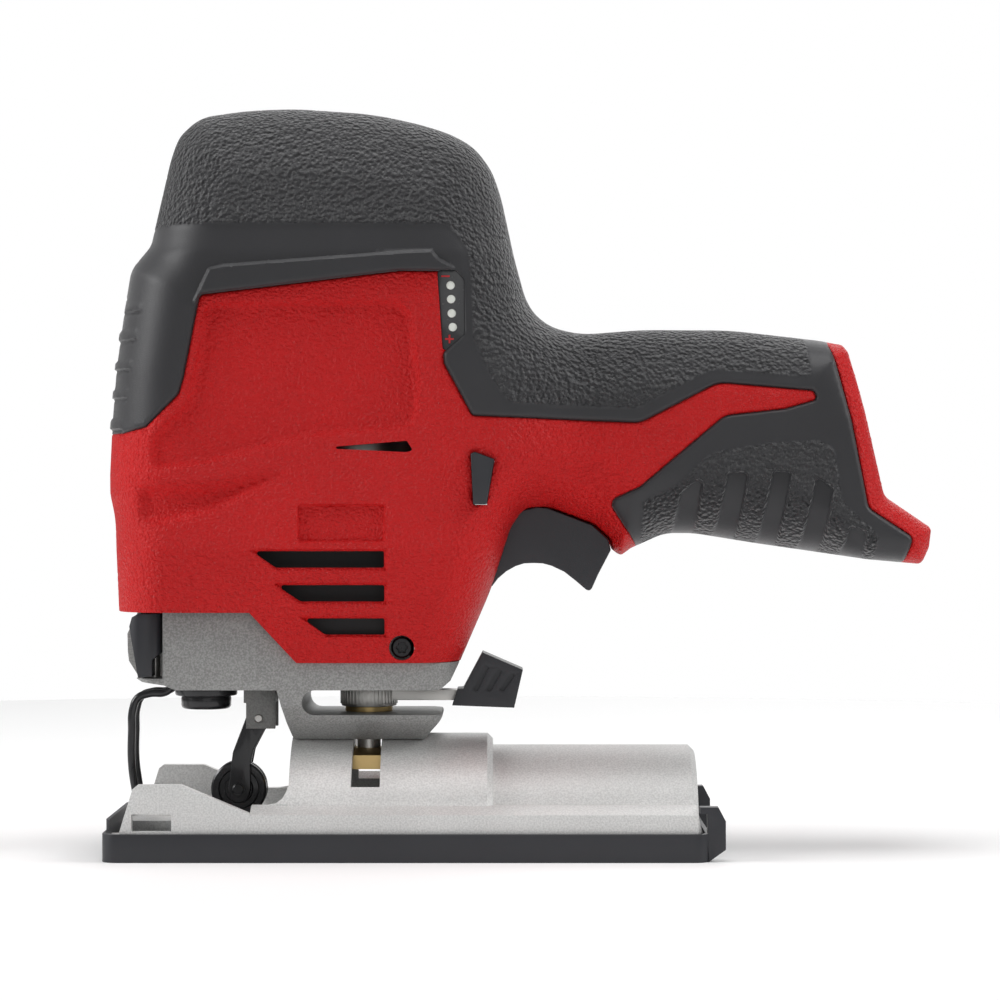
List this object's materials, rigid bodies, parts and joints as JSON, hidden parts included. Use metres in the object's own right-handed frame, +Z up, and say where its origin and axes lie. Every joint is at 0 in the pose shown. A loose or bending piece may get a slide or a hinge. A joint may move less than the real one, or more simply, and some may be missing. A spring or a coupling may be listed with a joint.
{
  "type": "cordless jigsaw",
  "caption": "Compact cordless barrel-head jigsaw with rubber-covered handle, tilting cast shoe, blade clamp and guide roller.",
  "frame": {"origin": "centre of the sole's face, on the axis about which the shoe tilts", "axes": "+Z up, +X towards the handle, -X towards the blade end, +Y the tool's right side"},
  "size_m": [0.2069, 0.066, 0.1877],
  "materials": {
    "red_plastic": "fine grained",
    "overmould": "leather grained",
    "black_plastic": "satin",
    "black_steel": "blackened gloss",
    "cast_alloy": "grained silver paint",
    "plain_steel": "satin",
    "brass": "turned",
    "copper": "enamelled winding",
    "ferrite": "dull",
    "felt": "oiled",
    "clear_window": "printed film",
    "light_diffuser": "diffuse",
    "circuit_board": "solder mask",
    "lead_insulation": "extruded"
  },
  "bodies": {
    "root": {"housing_left": "red_plastic", "housing_right": "red_plastic", "soft_grip_left": "overmould", "soft_grip_right": "overmould", "switch_module": "black_plastic", "air_shroud": "black_plastic", "motor_endbell": "black_plastic", "terminal_block": "black_plastic", "wire_guard": "black_steel", "bracket_screw": "black_steel", "housing_screws": "black_steel", "gearcase_screws": "black_steel", "gearcase": "cast_alloy", "bearing_block": "cast_alloy", "bush_bracket": "cast_alloy", "trigger_pin": "plain_steel", "trigger_spring": "plain_steel", "motor_plate": "plain_steel", "motor_can": "plain_steel", "motor_bearings": "plain_steel", "gear_bearing": "plain_steel", "release_pin": "plain_steel", "roller_bracket": "plain_steel", "arm_pin": "plain_steel", "clamp_bolt": "plain_steel", "lower_bush": "brass", "upper_bush": "brass", "clamp_plate": "brass", "clamp_washer": "brass", "battery_terminals": "brass", "motor_brushes": "copper", "motor_magnets": "ferrite", "felt_seal": "felt", "gauge_window": "clear_window", "gauge_lights": "light_diffuser", "control_board": "circuit_board", "motor_leads": "lead_insulation"},
    "rotor": {"motor_shaft": "plain_steel", "motor_armature": "copper", "motor_commutator": "copper", "motor_fan": "black_plastic", "motor_pinion": "plain_steel"},
    "gear": {"drive_gear": "plain_steel", "gear_axle": "plain_steel", "crank_pin": "plain_steel"},
    "plunger": {"yoke": "plain_steel", "plunger_rod": "plain_steel", "blade_clamp": "black_steel", "clamp_collar": "black_steel"},
    "trigger": {"trigger": "black_plastic"},
    "lock": {"lock_button": "black_plastic"},
    "release": {"release_lever": "black_plastic"},
    "roller_arm": {"roller_arm": "black_steel", "roller_pin": "plain_steel"},
    "roller": {"roller": "black_steel"},
    "shoe": {"shoe": "cast_alloy", "shoe_cover": "black_plastic"},
    "clamp_lever": {"clamp_lever": "plain_steel", "lever_knob": "black_plastic"}
  },
  "joints": [
    {"name": "motor_spin", "type": "hinge", "parent": "root", "child": "rotor", "pos_m": [-0.014, 0, 0.1], "axis": [0, 0, 1], "continuous": true},
    {"name": "gear_spin", "type": "hinge", "parent": "root", "child": "gear", "pos_m": [-0.02, 0, 0.062], "axis": [1, 0, 0], "continuous": true},
    {"name": "plunger_slide", "type": "slide", "parent": "root", "child": "plunger", "axis": [0, 0, 1], "range_m": [-0.0095, 0.0095]},
    {"name": "trigger_pull", "type": "hinge", "parent": "root", "child": "trigger", "pos_m": [0.0195, 0, 0.078], "axis": [0, -1, 0], "range_deg": [0, 8], "stiffness_Nm_per_rad": 0.3, "springref_deg": -8.59, "deforming": ["trigger_spring"]},
    {"name": "lock_slide", "type": "slide", "parent": "root", "child": "lock", "axis": [0, 1, 0], "range_m": [0, 0.003]},
    {"name": "release_turn", "type": "hinge", "parent": "root", "child": "release", "pos_m": [-0.0645, -0.011, 0.05], "axis": [0, 0, -1], "range_deg": [0, 30], "stiffness_Nm_per_rad": 0.05, "springref_deg": -11.46},
    {"name": "arm_swing", "type": "hinge", "parent": "root", "child": "roller_arm", "pos_m": [-0.0387, 0, 0.0335], "axis": [0, 1, 0], "range_deg": [-3, 3]},
    {"name": "roller_spin", "type": "hinge", "parent": "roller_arm", "child": "roller", "pos_m": [-0.044, 0, 0.0154], "axis": [0, 1, 0], "continuous": true},
    {"name": "bevel_tilt", "type": "hinge", "parent": "root", "child": "shoe", "pos_m": [0, 0, 0], "axis": [1, 0, 0], "range_deg": [-45, 45]},
    {"name": "clamp_turn", "type": "hinge", "parent": "root", "child": "clamp_lever", "pos_m": [-0.011, 0, 0.038], "axis": [0, 0, 1], "range_deg": [-20, 0]}
  ],
  "couplings": [
    {"joint": "gear_spin", "follows": "motor_spin", "ratio": 0.22222}
  ]
}
